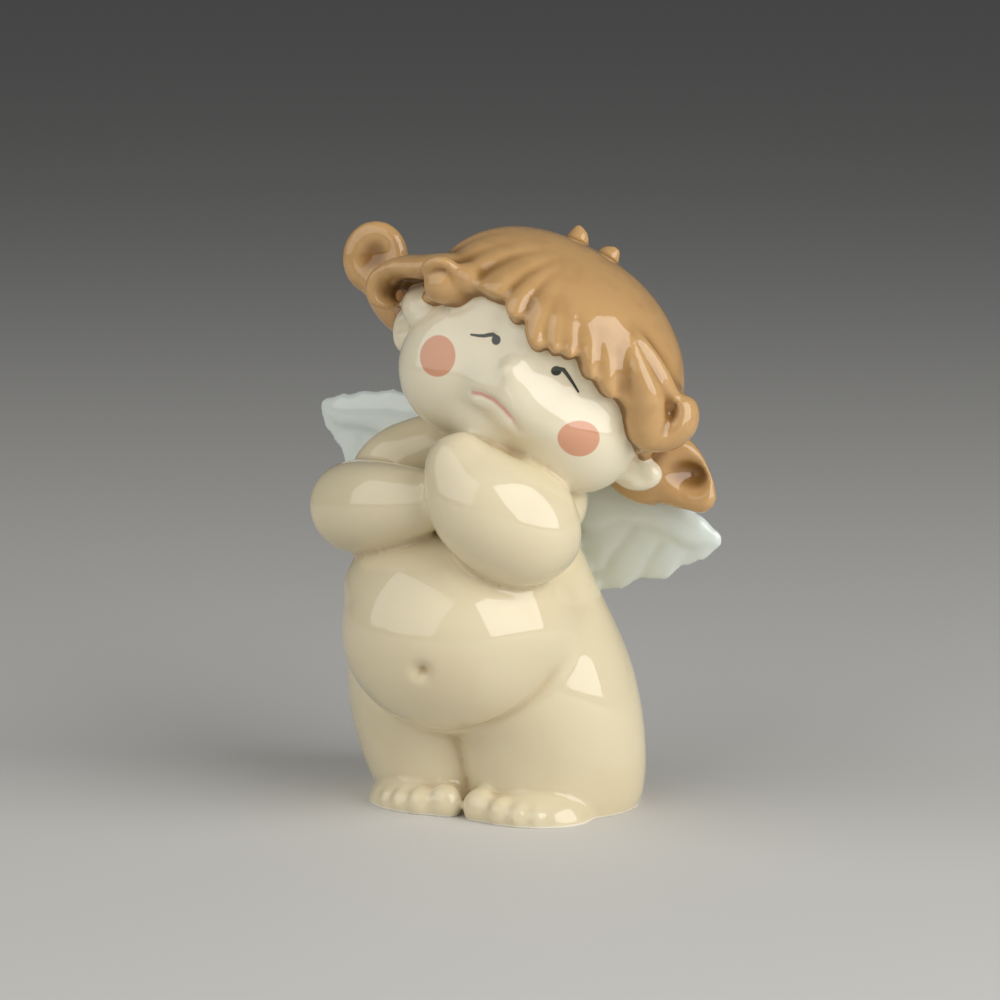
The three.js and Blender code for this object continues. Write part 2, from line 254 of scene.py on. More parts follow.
feet = []
for side in (-1, 1):
    feet.append(ball((side * 13.5, -13.5, 0), (13.5, 11.5, 8.2)))
    feet.append(ball((side * 7, -14.5, 0), (6.6, 10, 7.4)))
    inner = TOES_START
    for toe_wide, toe_place, toe_rise in TOES:
        middle = (side * (inner + toe_wide / 2), toe_place, toe_rise * 0.6)
        feet.append(ball(middle, (toe_wide * 0.64, 3.6, toe_rise), around=28, rows=18))
        if inner > TOES_START:
            feet.append(ball(middle, (toe_wide * 0.8, 2.9, toe_rise * 0.8), around=28, rows=18))
        inner += toe_wide
print("foot forms:", len(feet))

# %% [markdown]
# The arms are folded under the chin: the cherub's right elbow points out to its side, and its left
# hand lies on top. Each arm is two coils, because the fold at the elbow is too tight for one path.

# %% Arms
UP = (0, 0, 1)
arms = [
    coil(
        [(0, -2, 82), (-12, -4, 79), (-19, -6, 76.5), (-25, -9, 73), (-30, -12, 67)],
        [(7, 7), (8.5, 8.5), (9, 9), (9.5, 9.5), (8.5, 8.5)], UP,
    ),
    coil(
        [(-37, -14.5, 63), (-30, -18, 66), (-17, -26, 69), (-6, -28, 71), (4, -26, 73)],
        [(8.5, 8.5), (11, 11), (9.5, 9.5), (7.7, 7.7), (6, 6)], UP, around=56,
    ),
    coil([(7, -4, 74), (13, -9, 71), (16.5, -18, 66)], [(7, 7), (10, 10), (10, 10)], UP),
    coil(
        [(21, -13, 60), (16.5, -22.5, 65.5), (9.5, -30, 73), (5.2, -32, 80.5), (3.4, -33, 87)],
        [(9.5, 9.5), (14.1, 14.1), (12.5, 12.5), (9.3, 9.3), (6.7, 6.7)], UP, around=56, rows=120,
    ),
]
print("arm coils:", len(arms))

# %% [markdown]
# The head is made upright round its own middle and then tilted on to the arms. The face is one skin
# that flows from the skull over two full cheeks, a muzzle between them and a round chin: for each
# direction from the middle, the skin lies where the last of these forms ends, and where two are equal
# it is rounded. The nose is a low hill, and low dips lie beside it and over the left cheek.

# %% Face
HEAD_PLACE = (12.4, -4.7, 100.4)
HEAD_TURN = (0, 29, 10)
HEAD = Matrix.Translation(HEAD_PLACE) @ Euler([math.radians(a) for a in HEAD_TURN]).to_matrix().to_4x4()
HEAD_AXES = np.array(HEAD.to_3x3())

SKULL = ((0, 0, 0), (27, 22.5, 23))
CHEEKS = [((-13.5, -6.8, -9.8), (15.3, 14, 14.8)), ((12.8, -7.3, -9.3), (15.3, 13.1, 13))]
MUZZLE = ((3.8, -8.3, -5.6), (20, 17.9, 11))
CHIN = ((-1.5, -13.4, -14.8), (8.6, 8, 6.8))
SKIN_SOFTNESS = 1.4
FACE_HILLS = [  # turn and fall from the crown in degrees, rise in mm, spread in degrees
    (-4, 89, 2.1, 6),
    (-2, 112, -0.9, 8),
    (-20, 82, -1.3, 11),
    (24.5, 85.7, -1.9, 18),
]


def bump(value, middle, width):
    """A soft hill of height 1."""
    return np.exp(-(((value - middle) / width) ** 2))


def facing(turn, fall):
    """The direction at a turn from the forehead towards the cherub's left, and a fall from the crown."""
    turn, fall = math.radians(turn), math.radians(fall)
    return np.array([math.sin(turn) * math.sin(fall), -math.cos(turn) * math.sin(fall), math.cos(fall)])


face = ball((0, 0, 0), (1, 1, 1), around=160, rows=110)
ways = unit(points_of(face))
ends = np.array([exit_along(ways, *form) for form in (SKULL, *CHEEKS, MUZZLE, CHIN)])
far = ends.max(0)
skin = far + SKIN_SOFTNESS * np.log(np.exp((ends - far) / SKIN_SOFTNESS).sum(0))
for turn, fall, rise, spread in FACE_HILLS:
    angle = np.degrees(np.arccos(np.clip(ways @ facing(turn, fall), -1, 1)))
    skin += rise * bump(angle, 0, spread)
move_points(face, ways * skin[:, None])
print("face reaches in mm:", skin.min().round(1), "to", skin.max().round(1))

# %% [markdown]
# Each ear is a small ball whose bowl is pressed in, as with a thumb. A low swelling closes the temple
# in front of the right ear, where the skin runs up under the hair.

# %% Ears and temple


def press(piece, front, place, spread, depth):
    """Press the front of a piece in, as with a thumb, round a place in x and z."""
    points = points_of(piece)
    away = np.hypot((points[:, 0] - place[0]) / spread[0], (points[:, 2] - place[1]) / spread[1])
    points[:, 1] += depth * bump(away, 0, 1) * ramp(front - points[:, 1], -0.8, 2.4)
    move_points(piece, points)
    return piece


temple = ball((-27, -3.5, -3.8), (7.4, 8, 5.4))
ears = [
    press(ball((-31, 1, -11.5), (5.6, 3.8, 3.7), (0, 70, 0)), 0, (-32, -12), (1.8, 2.4), 1.2),
    press(ball((29.6, -1, -11.2), (5.7, 3.8, 3.8), (0, -29, 0)), -2, (31, -10.6), (2.6, 1.6), 1.4),
]
print("ears:", len(ears))

# %% [markdown]
# The hair is a cap whose front edge is cut into rounded locks. A short table says where each lock
# starts round the head, how high the notch before it reaches, and how far down its own rounded tip
# comes. The cap is a ball whose rows are drawn together towards the crown, so that its edge is free,
# and the rows below that edge are tucked inside the head.

# %% Cut the cap's edge
CAP = np.array([31, 26, 25.5])
LOCKS = np.array([  # where a lock starts, how far down the notch there is, and its own tip, in degrees
    (-180, 131, 136), (-158, 129, 134), (-136, 125, 129), (-114, 114, 118), (-92, 100, 102), (-74, 88, 90),
    (-57, 79, 81), (-43.5, 67, 64.5), (-23.8, 60.5, 67.5), (-10.5, 61.5, 73.5), (5.6, 67, 71),
    (12.5, 66, 69.5), (19.6, 62.5, 73), (32, 71.5, 78.5), (44.5, 76.5, 80.5), (54, 84, 89), (64, 96, 102),
    (76, 103, 108), (92, 110, 117), (114, 118, 126), (136, 125, 133), (158, 129, 136), (180, 131, 131),
], float)
TIP_PLACE = 0.68  # where a lock's tip hangs, as a share of its width
OUTSIDE = 0.78  # the share of the rows that show


def lock_at(degrees):
    """Which lock a turn lies in, how far across it from 0 to 1, and how high its dome is there."""
    which = np.clip(np.searchsorted(LOCKS[:, 0], degrees, side="right") - 1, 0, len(LOCKS) - 2)
    across = (degrees - LOCKS[which, 0]) / (LOCKS[which + 1, 0] - LOCKS[which, 0])
    skewed = np.clip(across, 0, 1) ** (math.log(0.5) / math.log(TIP_PLACE))
    return which, across, np.sqrt(np.maximum(1 - (2 * skewed - 1) ** 2, 0))


cap = ball((0, 0, 0), (1, 1, 1), around=384, rows=96)
start = points_of(cap)
even = np.arctan2(start[:, 0], -start[:, 1])
turn = even - 0.5 * np.sin(even)
degrees = np.degrees(turn)
row = np.arccos(np.clip(start[:, 2] / np.linalg.norm(start, axis=1), -1, 1)) / math.pi
down = np.minimum(row / OUTSIDE, 1)

which, across, dome = lock_at(degrees)
notch = LOCKS[which, 1] + (LOCKS[which + 1, 1] - LOCKS[which, 1]) * across
level = LOCKS[which, 1] + (LOCKS[which + 1, 1] - LOCKS[which, 1]) * TIP_PLACE
fall = np.radians(notch + (LOCKS[which, 2] - level) * dome) * down
print("locks round the edge:", len(LOCKS) - 1)

# %% [markdown]
# Each lock is domed, and the grooves between the locks sweep up towards the crown and fade. Wide
# locks stand out further than narrow ones. The hair is fuller over the right ear and over the
# left of the fringe.

# %% Raise the locks
SWEEP = 35  # degrees that a groove turns on its way to the crown
WIDE_LOCK = 16  # degrees; a lock this wide or wider stands out fully

swept = (degrees + SWEEP * ramp(degrees, -40, 20) * (1 - down) + 180) % 360 - 180
which, across, dome = lock_at(swept)
width = np.minimum((LOCKS[which + 1, 0] - LOCKS[which, 0]) / WIDE_LOCK, 1)
fade = ramp(down, 0.3 + 0.3 * ramp(degrees, -25, 5), 1)
relief = (0.03 + 0.05 * width) * (1 - 0.55 * ramp(np.abs(swept), 46, 60))
fuller = 0.085 * bump(degrees, -90, 60) * bump(np.degrees(fall), 50, 32)
fuller += 0.05 * bump(degrees, 22, 34) * bump(np.degrees(fall), 46, 20)
reach = 1 + relief * (dome - 0.75) * fade + fuller
inward = np.where(row > OUTSIDE, 1 - 0.9 * ramp(row, 0.8, 1), 1)
out, up = np.sin(fall) * reach * inward, np.cos(fall) * reach * inward
move_points(cap, CAP * np.stack([np.sin(turn) * out, -np.cos(turn) * out, up], axis=1))
print("cap points:", len(up))

# %% [markdown]
# Loose locks stand off the cap: one curls up at the left temple, one loops over the right ear, and
# behind each ear the hair flicks out. A flick is pressed hollow in front, as with a thumb, which
# leaves its edge standing as a thick rim.

# %% Curls and flicks
CURL_AXIS = (0.3, 1, 0.1)


def lock(path, sizes, rows=120):
    """A rolled lock of hair."""
    return coil(path, sizes, CURL_AXIS, rows=rows, fullness=0.6)


temple_lock = lock(
    [(16, -14.5, 18), (20.8, -15, 13), (24.5, -13.6, 8.5), (27.2, -11.6, 3.2), (29.5, -9.5, 0.8),
     (32.6, -8, 1.6), (34.3, -7.5, 5.4), (32.6, -7, 9), (30.1, -7.8, 8.6), (31, -8.5, 6.8)],
    [(1.5, 2), (3.4, 3.6), (4.6, 4.4), (4.5, 4.8), (3.6, 4.8), (2.9, 4.4), (2.5, 3.8), (2.3, 3.4), (2, 2.8)],
    rows=150,
)
ear_loop = lock(
    [(-15, -9, 14), (-25.5, -10, 9.8), (-32.2, -8, 5.2), (-37.5, -6, 1.6), (-39.8, -5, -3),
     (-38.3, -5, -6.6), (-34.6, -5, -7.2)],
    [(3, 5), (3.2, 6), (2.7, 6), (2.4, 6), (2.3, 6), (2.2, 5)],
)
right_flick = [
    lock(
        [(-24, 8, -4), (-33, 8.5, -10.5), (-41, 8, -9), (-47, 8, -5)],
        [(6.5, 6), (5.5, 5.5), (5, 5), (4, 4)],
    ),
    press(ball((-47.2, 8, -3.6), (7.6, 5, 8.4), (0, -20, 0), 72, 48), 7, (-47.2, -2.6), (4.6, 5.2), 3.8),
]
left_flick = press(
    lock(
        [(16, 9, -9), (26, 9, -11.5), (34, 8.5, -9.4), (40, 8, -10), (46.2, 7.5, -11.5)],
        [(8, 5), (9.6, 5.5), (8.6, 5), (6.6, 4.6), (4.4, 3.6)],
    ),
    7, (38.6, -7.2), (4.4, 3.4), 6,
)
curls = [temple_lock, ear_loop, *right_flick, left_flick]
print("curls and flicks:", len(curls))

# %% [markdown]
# Smaller forms finish the hair: a snail of hair with a hook on it in front of the right ear, a flatter
# lock behind the temple curl, two swellings that fill the hollows behind the locks, and two small
# pointed tufts on the crown.

# %% Snail, fillings and tufts
snail = [
    ball((-25.1, -14.6, 6.3), (4.5, 4.8, 4.9), (0, 30, 0)),
    ball((-20.5, -15.2, 10.2), (4.4, 3.8, 3.2)),
    lock(
        [(-22.8, -17, 9.4), (-24.8, -18, 11.3), (-27.4, -18.2, 10.9), (-29.6, -17.6, 8.6), (-30.2, -16, 5.6)],
        [(0.8, 1.1), (1.1, 1.6), (1.3, 1.9), (1.3, 1.9), (1.2, 1.6)],
    ),
]
fillings = [
    lock(
        [(15.5, -12.5, 18.5), (20.5, -12, 15), (25, -10.5, 11.5), (28.2, -8, 9), (30.5, -6, 8.5)],
        [(2.2, 1.8), (3.2, 2.4), (3.6, 2.6), (3.4, 2.6), (2.6, 2)],
    ),
    ball((-31.5, 3, -1), (6.6, 6.5, 6.2)),
    ball((29, -3, 3.5), (5.5, 4.5, 7)),
]
tufts = [
    lock([(-8.6, 11, 19.5), (-9.7, 11, 24), (-11, 11, 26.6)], [(2.9, 2.4), (2.7, 2.2), (1, 1)], rows=40),
    lock([(-2.4, 11, 19.5), (-1.4, 11, 24), (-0.2, 11, 26.6)], [(3, 2.4), (2.8, 2.2), (1, 1)], rows=40),
]
curls += [*snail, *fillings, *tufts]
print("loose forms of hair:", len(curls))

# %% [markdown]
# The head's forms now leave the upright: one matrix turns and places them all.

# %% Tilt the head
for piece in (face, temple, *ears, cap, *curls):
    move_points(piece, points_of(piece) @ HEAD_AXES.T + np.array(HEAD_PLACE))
print("head's top in mm:", points_of(cap)[:, 2].max().round(1))

# %% [markdown]
# A wing has a thick band along its upper edge and thinner feathers below it, whose lower edge runs in
# lobes. Its outline is given as heights over its length, in three lines: the upper edge, the lower
# edge and the lower side of the band. Shallow valleys mark where feathers lie over the next ones.

# %% The wing's lines
WING_TOP = np.array([
    (0, 3), (5, 6.5), (12, 10.2), (20, 11.8), (32, 10.2), (40, 7.6), (46, 4.8), (51, 2.4), (53, 0.6),
], float)
WING_BOTTOM = np.array([
    (0, -4), (4, -7), (9, -13), (16, -18.5), (25, -20.3), (31, -18.2), (36.5, -13.8), (41.5, -12.4),
    (45, -8.2), (49, -5.4), (53, -1),
], float)
WING_BAND = np.array([
    (0, -2), (12, -6), (20, -6.5), (30, -1.9), (36, -1), (41, -1.7), (45, -2.8), (53, -1),
], float)
FEATHER_VALLEYS = [
    [(32.8, -2), (28.5, -9.5), (27.5, -13.9), (23.3, -19)],
    [(39, -4.5), (37, -9), (36.5, -13.8)],
    [(46, -3.6), (44.5, -8.4)],
    [(20, -6.5), (16, -12), (12, -16)],
]


def eased(table, place):
    """A table's value at a place, eased between its rows."""
    row = np.clip(np.searchsorted(table[:, 0], place), 1, len(table) - 1)
    low, high = table[row - 1], table[row]
    return low[..., 1] + (high[..., 1] - low[..., 1]) * ramp(place, low[..., 0], high[..., 0])


def line_distance(x, z, line):
    """How far places are from a line through a few places."""
    spots = np.stack([x, z], axis=1)
    nearest = np.full(len(x), 1e9)
    for a, b in zip(np.array(line[:-1], float), np.array(line[1:], float)):
        share = np.clip(((spots - a) @ (b - a)) / ((b - a) @ (b - a)), 0, 1)
        nearest = np.minimum(nearest, np.linalg.norm(spots - a - share[:, None] * (b - a), axis=1))
    return nearest


print("wing's height in mm:", WING_TOP[:, 1].max() - WING_BOTTOM[:, 1].min())

# %% [markdown]
# A wing starts as a cube that is cut into a fine grid, and its points are sent to the wing's lines.
# Its rim is thinned, the band is left thick, and the slab is cupped a little. The same function
# makes both wings, and only the side changes.

# %% Wings
WING_ROOT = 2
WING_TIP = 52.5
WING_THICK = 2.1
WINGS_PLACE = (-6, 13, 71)
WINGS_TURN = (0, 13, 0)


def wing(side):
    """The wing on one side, -1 or 1, in its place on the back."""
    bpy.ops.mesh.primitive_cube_add(size=MM)
    piece = bpy.context.object
    bpy.ops.object.mode_set(mode="EDIT")
    bpy.ops.mesh.subdivide(number_cuts=63)
    bpy.ops.object.mode_set(mode="OBJECT")
    start = points_of(piece)
    share = start[:, 0] + 0.5
    across = WING_ROOT + (WING_TIP - WING_ROOT) * share
    low, high = eased(WING_BOTTOM, across), eased(WING_TOP, across)
    up = start[:, 2] * 2
    height = low + (high - low) * (start[:, 2] + 0.5)
    rim = np.sqrt(np.maximum(0.02, 1 - np.abs(up) ** 4)) * np.sqrt(np.maximum(0.05, 1 - share**10))
    band = 0.62 + 0.6 * ramp(height - eased(WING_BAND, across), -0.8, 1.6)
    valley = sum(bump(line_distance(across, height, line), 0, 0.9) for line in FEATHER_VALLEYS)
    cup = 5 * share**2 - 3 * share - 1.5 * (1 - share) ** 3 - 5 * up * (1 - share) ** 2
    thick = WING_THICK * rim * (band - 0.3 * np.minimum(valley, 1))
    move_points(piece, np.stack([side * across, cup + 2 * start[:, 1] * thick, height], axis=1))
    turned = Euler([math.radians(a) for a in WINGS_TURN]).to_matrix()
    move_points(piece, points_of(piece) @ np.array(turned).T + np.array(WINGS_PLACE))
    return piece


wings = [wing(-1), wing(1)]
print("wings:", len(wings))

# %% [markdown]
# Cast porcelain has no seams between its forms, so all of them are melted into one skin with a voxel
# remesh, and a few rounds of smoothing give the soft creases that slip and glaze leave. The forms
# themselves are kept until the paint is laid out, because they say which colour goes where.

# %% Melt the forms into one skin
VOXEL = 0.735 * MM  # fine enough for the toes, and it keeps the skin under 200,000 triangles
MELT_ROUNDS = 7

groups = {
    "body": [torso, belly, *feet, *arms],
    "face": [face, temple, *ears],
    "hair": [cap, *curls],
    "wing": wings,
}


def tree_of(pieces):
    """A search tree over the pieces' faces, in millimetres."""
    rows, faces, base = [], [], 0
    for piece in pieces:
        points = points_of(piece)
        rows.append(points)
        faces += [[base + i for i in polygon.vertices] for polygon in piece.data.polygons]
        base += len(points)
    return BVHTree.FromPolygons(np.vstack(rows).tolist(), faces)


trees = {name: tree_of(pieces) for name, pieces in groups.items()}
everything = [piece for pieces in groups.values() for piece in pieces]
pick(*everything)
bpy.ops.object.join()
angel = bpy.context.object
angel.name = "porcelain_angel"
angel.data.name = "porcelain_angel"
melt = angel.modifiers.new("melt", "REMESH")
melt.mode = "VOXEL"
melt.voxel_size = VOXEL
bpy.ops.object.modifier_apply(modifier="melt")
settle = angel.modifiers.new("settle", "SMOOTH")
settle.factor = 0.5
settle.iterations = MELT_ROUNDS
bpy.ops.object.modifier_apply(modifier="settle")
print("melted faces:", len(angel.data.polygons), "quads")

# %% [markdown]
# The figure is ground flat where it stands. A bisect cuts off all that is below the floor and closes
# the cut, which is what grinding the foot on a wheel does.

# %% Grind the underside flat
pick(angel)
bpy.ops.object.mode_set(mode="EDIT")
bpy.ops.mesh.select_all(action="SELECT")
bpy.ops.mesh.bisect(plane_co=(0, 0, 0), plane_no=(0, 0, 1), use_fill=True, clear_inner=True)
bpy.ops.object.mode_set(mode="OBJECT")
print("after the cut:", len(angel.data.polygons), "faces")

# %% [markdown]
# Small forms are modelled last, in the finished skin: the line of the mouth with its lip, the
# eyelids, the navel and the fold under the belly. The skin is moved along its own normals, by an
# amount that depends on how near a point is to a drawn line or place. The fold runs where the ball
# of the belly and the column of the legs are both at their surface.

# %% Carve the small forms
MOUTH = [(-6.6, -9.1), (-4.5, -7.9), (-1.4, -7.3), (1.6, -7.7), (4.6, -8.6), (6.6, -10.2)]
LIP = [(-5.2, -10.3), (-1, -9.4), (3.8, -10.6)]
LASHES = {
    "right": [(-8.6, 3.5), (-9.4, 3.5), (-10, 3.1), (-11, 2.2), (-12.2, 1.5), (-13.7, 0.8)],
    "left": [(6.8, 4.8), (7.7, 5.1), (9.1, 4.4), (11.1, 3.3), (12.7, 2.4)],
}
CARVED = [  # a line on the face, how far it rises in mm, and how wide it is
    (MOUTH, -0.65, 0.8),
    (LIP, 0.6, 1.5),
    (LASHES["right"], -0.2, 0.8),
    (LASHES["left"], -0.2, 0.8),
]
NAVEL = np.array((0.3, -41.3, 36.2))
NAVEL_DEPTH = 2
NAVEL_RADIUS = 1.9
FOLD_DEPTH = 0.8

points = points_of(angel)
normals = np.empty(len(points) * 3)
angel.data.vertex_normals.foreach_get("vector", normals)
normals = normals.reshape(-1, 3)
local = (points - np.array(HEAD_PLACE)) @ HEAD_AXES
on_face = ramp(-local[:, 1], 6, 12) * (np.linalg.norm(local, axis=1) < 30)
rise = np.zeros(len(points))
for line, height, width in CARVED:
    rise += height * bump(line_distance(local[:, 0], local[:, 2], line), 0, width) * on_face
rise -= NAVEL_DEPTH * bump(np.linalg.norm(points - NAVEL, axis=1), 0, NAVEL_RADIUS)
ring = [np.interp(points[:, 2], rings[:, 0], rings[:, i]) for i in (1, 2, 3, 4)]
on_column = np.hypot((points[:, 0] - ring[0]) / ring[2], (points[:, 1] - ring[1]) / ring[3])
on_belly = np.linalg.norm((points - BELLY_MIDDLE) / BELLY_RADII, axis=1)
fold = bump(on_belly, 1.01, 0.035) * bump(on_column, 0.99, 0.04)
rise -= FOLD_DEPTH * fold * ramp(points[:, 2], 40, 33)
move_points(angel, points + normals * rise[:, None])
print("carved from", rise.min().round(2), "to", rise.max().round(2), "mm")

# %% [markdown]
# The painter's areas follow the forms. For each point of the skin the distance to each group of
# forms is measured, and how much nearer one group is than the others is kept on the point. The
# shader later draws the edge where that number passes zero, which is sharper than the mesh.

# %% Measure where the colours go
points = points_of(angel)
away = {
    name: np.array([tree.find_nearest(point)[3] for point in points.tolist()])
    for name, tree in trees.items()
}
for name in ("hair", "wing", "face"):
    others = np.min([away[other] for other in away if other != name], axis=0)
    layer = angel.data.attributes.new(name, "FLOAT", "POINT")
    layer.data.foreach_set("value", (others - away[name]).astype(np.float32))
    print(name, "points:", int((others > away[name]).sum()))

# %% [markdown]
# A second number says how deep a point lies in a crease. It sets where painted shade darkens the
# creases: partly the glaze that runs together there, partly the shade that falls in them. The skin is
# relaxed by averaging each point with its neighbours again and again, and the way from a point to its
# relaxed place, along the normal, is how hollow it is there.

# %% Measure the creases
RELAX_ROUNDS = 19

edges = np.empty(len(angel.data.edges) * 2, dtype=np.int64)
angel.data.edges.foreach_get("vertices", edges)
edges = edges.reshape(-1, 2)
both = np.concatenate([edges, edges[:, ::-1]])
ties = np.maximum(np.bincount(both[:, 0], minlength=len(points)), 1)


def spread_out(rows):
    """Each point's value averaged over the points it is tied to."""
    tied, count = rows[both[:, 1]], len(rows)
    summed = [np.bincount(both[:, 0], weights=column, minlength=count) for column in tied.T]
    return np.stack(summed, axis=1) / ties[:, None]


relaxed = points
for _ in range(RELAX_ROUNDS):
    relaxed = spread_out(relaxed)
normals = np.empty(len(points) * 3)
angel.data.vertex_normals.foreach_get("vector", normals)
hollow = ((relaxed - points) * normals.reshape(-1, 3)).sum(1)
layer = angel.data.attributes.new("hollow", "FLOAT", "POINT")
layer.data.foreach_set("value", hollow.astype(np.float32))
print("deepest crease in mm:", round(float(hollow.max()), 2))

# %% [markdown]
# The material is hard-paste porcelain with a clear feldspar glaze. Under the glaze the clay is
# tinted with sprayed colour: warm beige on the body, ivory on the face, caramel on the hair, and bare
# white on the wings. The glaze is glass, so it has glass's IOR and is nearly mirror smooth. A shader
# is a tree of nodes, and one small function adds any of them and gives back one of its outputs.

# %% Start the glazed porcelain
paint = bpy.data.materials.new("glazed_porcelain")
paint.use_nodes = True
tree = paint.node_tree
tree.nodes.clear()


def colour(hex_value):
    """A hex colour as linear values."""
    parts = [int(hex_value[i : i + 2], 16) / 255 for i in (1, 3, 5)]
    return [c / 12.92 if c <= 0.04045 else ((c + 0.055) / 1.055) ** 2.4 for c in parts] + [1]


def add(kind, inputs=(), out=0, **settings):
    """Add a node, set it, fill or link its inputs by name or number, and give back one output."""
    made = tree.nodes.new("ShaderNode" + kind)
    for name, value in settings.items():
        setattr(made, name, value)
    for key, value in dict(inputs).items():
        if isinstance(value, bpy.types.NodeSocket):
            tree.links.new(value, made.inputs[key])
        else:
            made.inputs[key].default_value = value
    return made.outputs[out] if made.outputs else made


BEIGE = colour("#DDD0AE")
IVORY = colour("#E3D9BE")
# darker caramel: painted shade in the hair's grooves, and the brush streaks
CARAMEL = colour("#C49C68")
CARAMEL_SHADE_AND_STREAKS = colour("#8C6537")
WHITE = colour("#DCE3DC")
# painted shade in the wings' creases
WHITE_PAINTED_SHADE = colour("#B9BDA6")
# tan: painted shade in the skin's creases, partly glaze gathering there, and the spray's clouds
TAN_SHADE_AND_CLOUDS = colour("#B99A68")
BLUSH = colour("#CE8B68")
LIP_PINK = colour("#D9988A")
SLATE = colour("#1C2422")
BISQUE = colour("#E9E2D2")
print("material:", paint.name)

# %% [markdown]
# The face is painted as if on a sheet of paper held in front of it, in millimetres across and up, so
# the object's coordinates are turned into the head's and flattened. Two kinds of distance are then
# enough for all marks: from a spot, for eyes and cheeks, and from a line, for lashes and mouth. A lash
# is drawn thick at the eye and thins out away from it, as a brush does when it is lifted.

# %% Spots and lines on the face
SPOTS = {
    "right_cheek": (-17.8, -7.1),
    "left_cheek": (18, -5.9),
    "right_eye": (-8.1, 3),
    "left_eye": (6.6, 4.2),
    "mouth": (-1.6, -8),
}
LASH_LENGTH = 7.0
LASH_HALF_WIDTHS = (0.5, 0.16)  # at the eye and at the thin end

where = add("TexCoord", out="Object")
on_head = add("Mapping", {
    "Vector": where,
    "Location": [v * MM for v in HEAD_PLACE],
    "Rotation": [math.radians(a) for a in HEAD_TURN],
    "Scale": (MM, MM, MM),
}, vector_type="TEXTURE")
head_side, head_depth, head_height = add("SeparateXYZ", {0: on_head}).node.outputs
drawing = add("CombineXYZ", {0: head_side, 2: head_height})
distance = {
    name: add("VectorMath", {0: drawing, 1: (x, 0, z)}, out="Value", operation="DISTANCE")
    for name, (x, z) in SPOTS.items()
}


def line_away(line):
    """The distance in mm from a line through a few places on the face."""
    nearest = None
    for (ax, az), (bx, bz) in zip(line[:-1], line[1:]):
        length = math.hypot(bx - ax, bz - az)
        way = ((bx - ax) / length, 0, (bz - az) / length)
        arm = add("VectorMath", {0: drawing, 1: (ax, 0, az)}, operation="SUBTRACT")
        ahead = add("VectorMath", {0: arm, 1: way}, out="Value", operation="DOT_PRODUCT")
        held = add("Clamp", {0: ahead, 1: 0.0, 2: length})
        foot = add("VectorMath", {0: way, "Scale": held}, operation="SCALE")
        gap = add("VectorMath", {0: arm, 1: foot}, out="Value", operation="DISTANCE")
        nearest = gap if nearest is None else add("Math", {0: nearest, 1: gap}, operation="MINIMUM")
    return nearest


distance["mouth_line"] = line_away(MOUTH)
for side, lash in LASHES.items():
    thick, thin = LASH_HALF_WIDTHS
    half = add("MapRange", {"Value": distance[side + "_eye"], 1: 0.0, 2: LASH_LENGTH, 3: thick, 4: thin})
    distance[side + "_lash"] = add("Math", {0: line_away(lash), 1: half}, operation="SUBTRACT")
print("drawn marks:", sorted(distance))

# %% [markdown]
# Sprayed colour is never quite even: it lies in clouds about as wide as the spray gun's cone, and the
# hair shows finer streaks from the brush that wiped it. The fired glaze has long shallow waves, which
# bend the reflections a little. Each is a noise, and its scale is one over its real size.

# %% Clouds, streaks and waves
PATTERNS = {"clouds": (22.2, 2.0), "streaks": (6.25, 3.0), "waves": (7.7, 1.0)}  # size in mm, detail

pattern = {
    name: add("TexNoise", {"Vector": where, "Scale": 1 / (size * MM), "Detail": detail})
    for name, (size, detail) in PATTERNS.items()
}
print("patterns:", PATTERNS)

# %% [markdown]
# Every coat of paint has an edge. One table says what is measured for it, at what value there is no
# paint and at what value it is full, and one loop turns each row into a mask from 0 to 1.

# %% Where each coat lies
measured = {
    name: add("Attribute", out="Fac", attribute_name=name)
    for name in ("hair", "wing", "face", "hollow")
}
floor_height = add("SeparateXYZ", {0: where}, out=2)
EDGES = {
    "hair": (measured["hair"], -0.15, 0.15),
    "off_hair": (measured["hair"], 0.1, -0.1),
    "wings": (measured["wing"], -0.2, 0.2),
    "face": (measured["face"], -1.5, 1.5),
    # painted shade: tan on the skin and grey on the wings in creases, partly glaze gathering there
    "crease_shade": (measured["hollow"], 0.1, 1.1),
    # painted shade: the hair darker in its grooves and lighter on its ridges
    "groove_shade": (measured["hollow"], -0.25, 0.5),
    "clouds": (pattern["clouds"], 0.45, 0.75),
    "streaks": (pattern["streaks"], 0.45, 0.7),
    "in_front": (head_depth, -4.0, -8.0),
    "right_cheek": (distance["right_cheek"], 4.5, 4.2),
    "left_cheek": (distance["left_cheek"], 4.1, 3.8),
    "mouth": (distance["mouth"], 9.0, 4.0),
    "mouth_line": (distance["mouth_line"], 0.7, 0.1),
    "right_eye": (distance["right_eye"], 1.2, 0.9),
    "left_eye": (distance["left_eye"], 1.2, 0.9),
    "right_lash": (distance["right_lash"], 0.12, -0.08),
    "left_lash": (distance["left_lash"], 0.12, -0.08),
    "bare_foot": (floor_height, 0.7 * MM, 0.3 * MM),
}

mask = {
    name: add("MapRange", {"Value": value, 1: none, 2: full, 3: 0.0, 4: 1.0}, interpolation_type="SMOOTHSTEP")
    for name, (value, none, full) in EDGES.items()
}
mask["ink"] = mask["right_eye"]
for name in ("right_lash", "left_eye", "left_lash"):
    mask["ink"] = add("Math", {0: mask["ink"], 1: mask[name]}, operation="MAXIMUM")
print("masks:", len(mask))

# %% [markdown]
# The coats are laid one over another, as the painter does: the body first, then the ivory of the
# face, a tan in the creases that is partly glaze gathering there and partly painted shade, and the
# marks. Hair and wings are built up in the same way, with painted shade in the hair's grooves and the
# wings' creases, and laid on top. The ring the figure stands on is wiped free of glaze, so bare matt
# bisque shows there.

# %% Lay the coats


def coats(tone, layers):
    """Lay coats over a tone. A layer is the masks that bound it, its strength and its colour."""
    for names, strength, hue in layers:
        share = strength
        for name in names:
            share = add("Math", {0: mask[name], 1: share}, operation="MULTIPLY")
        tone = add("Mix", {0: share, 6: tone, 7: hue}, out=2, data_type="RGBA")
    return tone


